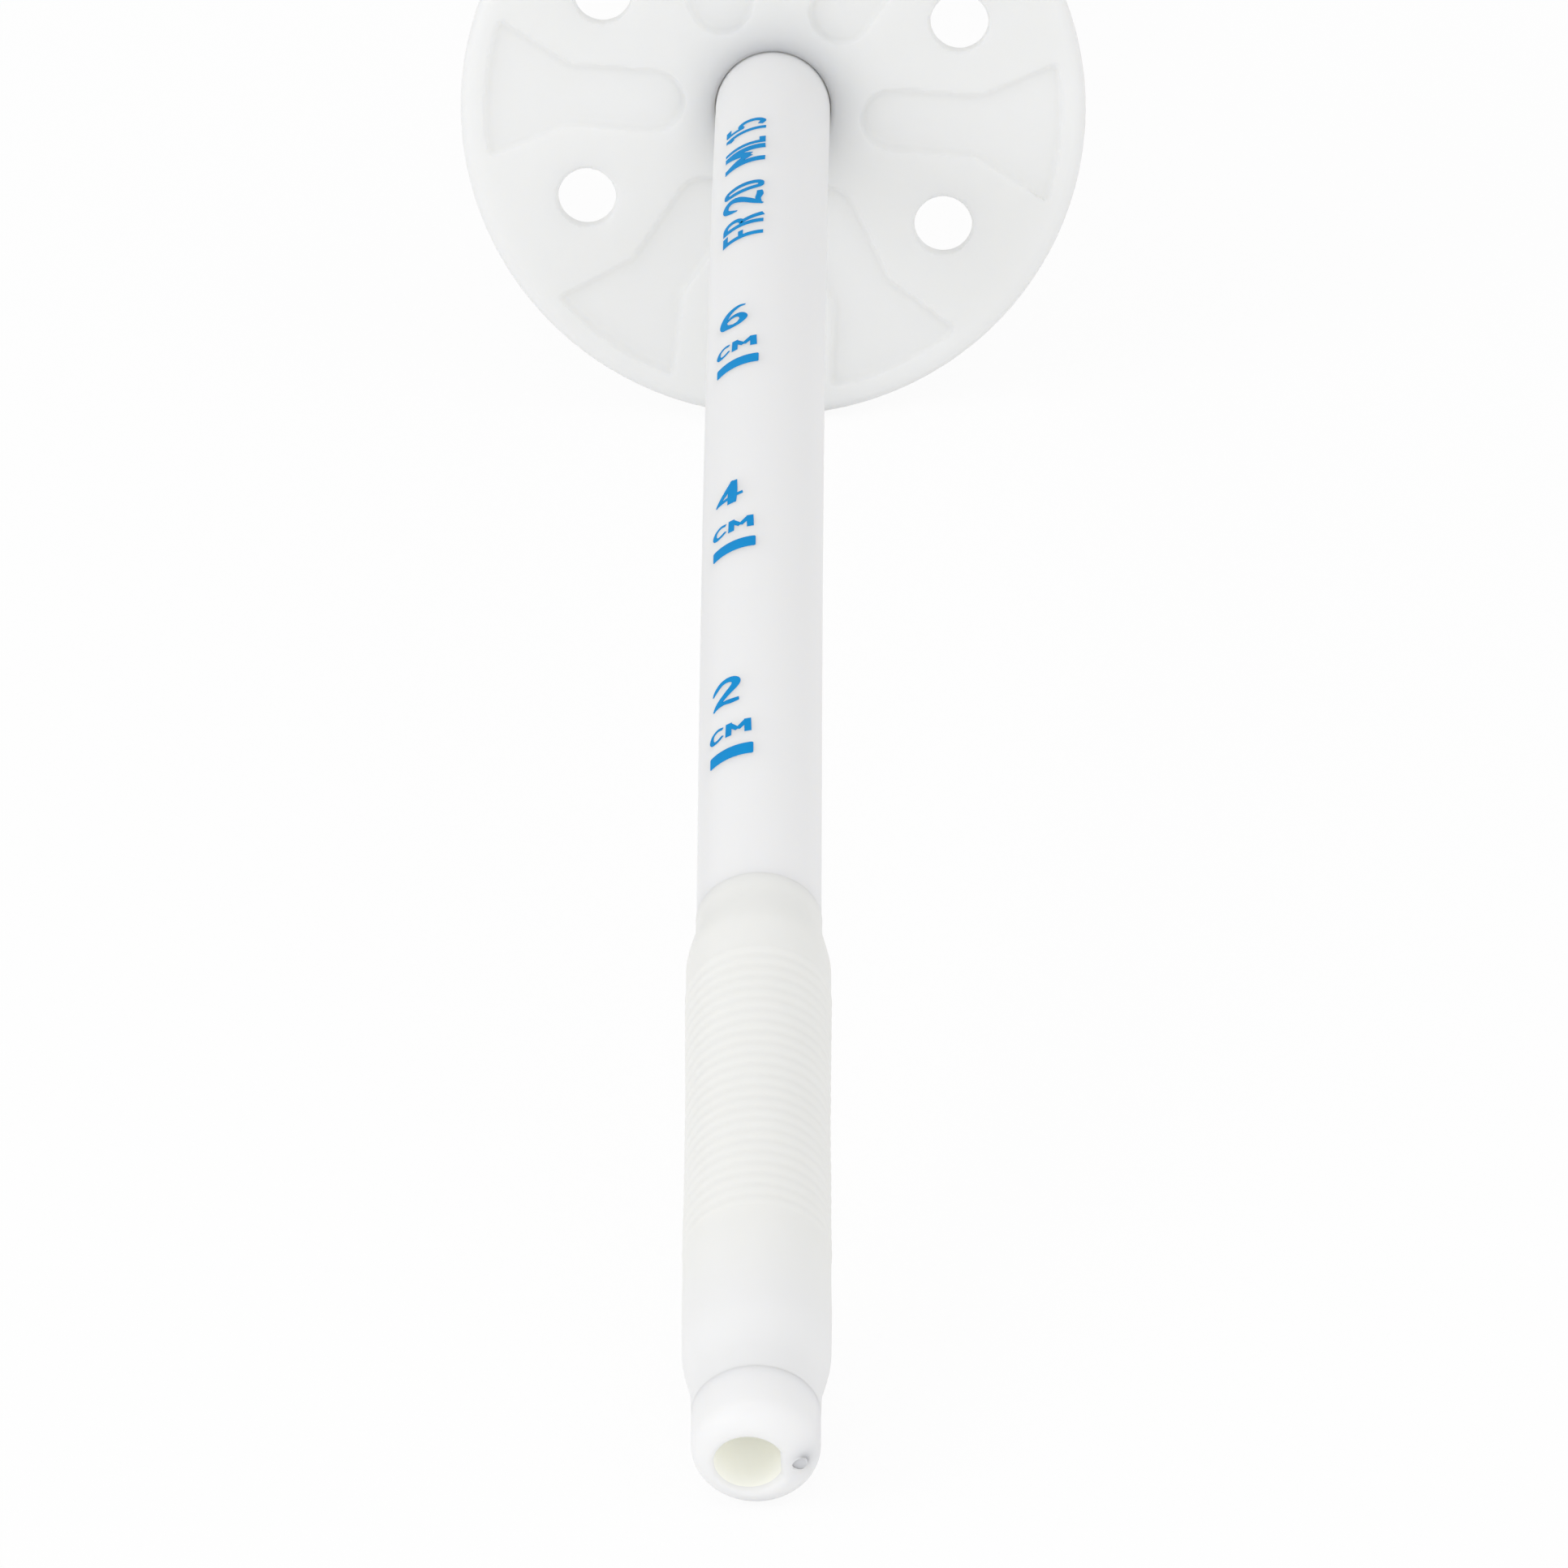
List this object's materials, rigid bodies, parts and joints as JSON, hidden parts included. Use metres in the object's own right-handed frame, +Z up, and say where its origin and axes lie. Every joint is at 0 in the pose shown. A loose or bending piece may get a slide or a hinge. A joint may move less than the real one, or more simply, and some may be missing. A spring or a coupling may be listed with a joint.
{
  "type": "gastrostomy feeding tube",
  "caption": "Balloon gastrostomy tube: curved printed silicone shaft with ribbed balloon, sliding retention disc, and a moulded head with plugged ports and an inflation valve.",
  "frame": {"origin": "on the table, in the plane of the tube, under the middle of the part's length", "axes": "+Z up from the table, +Y along the tube from its tip to its feeding end, +X to the right seen from the tip"},
  "size_m": [0.0518, 0.2538, 0.0355],
  "materials": {
    "shaft_silicone": "satin translucent silicone",
    "balloon_silicone": "satin silicone",
    "disc_silicone": "matt translucent silicone",
    "head_silicone": "satin silicone",
    "plug_silicone": "satin silicone",
    "valve_plastic": "gloss moulded plastic",
    "poppet_plastic": "moulded plastic",
    "seal_rubber": "matt",
    "spring_steel": "drawn wire",
    "print_ink": "printed ink"
  },
  "bodies": {
    "tube": {"shaft": "shaft_silicone", "lumen_plug": "shaft_silicone", "balloon": "balloon_silicone", "feeding_head": "head_silicone", "valve_body": "valve_plastic", "valve_spring": "spring_steel", "valve_retainer": "valve_plastic"},
    "disc": {"retention_disc": "disc_silicone"},
    "feed_plug": {"feeding_plug": "plug_silicone"},
    "med_plug": {"medication_plug": "plug_silicone"},
    "poppet": {"valve_poppet": "poppet_plastic", "valve_seal": "seal_rubber"}
  },
  "joints": [
    {"name": "disc_travel", "type": "hinge", "parent": "tube", "child": "disc", "pos_m": [0, -0.01998, -0.28092], "axis": [1, 0, 0], "range_deg": [-7.7, 16.8]},
    {"name": "feeding_plug_pull", "type": "slide", "parent": "tube", "child": "feed_plug", "axis": [0, 1, 0], "range_m": [0, 0.008]},
    {"name": "medication_plug_pull", "type": "slide", "parent": "tube", "child": "med_plug", "axis": [-0.694, 0.7187, -0.0435], "range_m": [0, 0.008]},
    {"name": "valve_press", "type": "slide", "parent": "tube", "child": "poppet", "axis": [-0.6917, -0.7163, 0.0915], "range_m": [0, 0.0018], "stiffness_N_per_m": 600, "springref_m": -0.0015, "deforming": ["valve_spring"]}
  ]
}
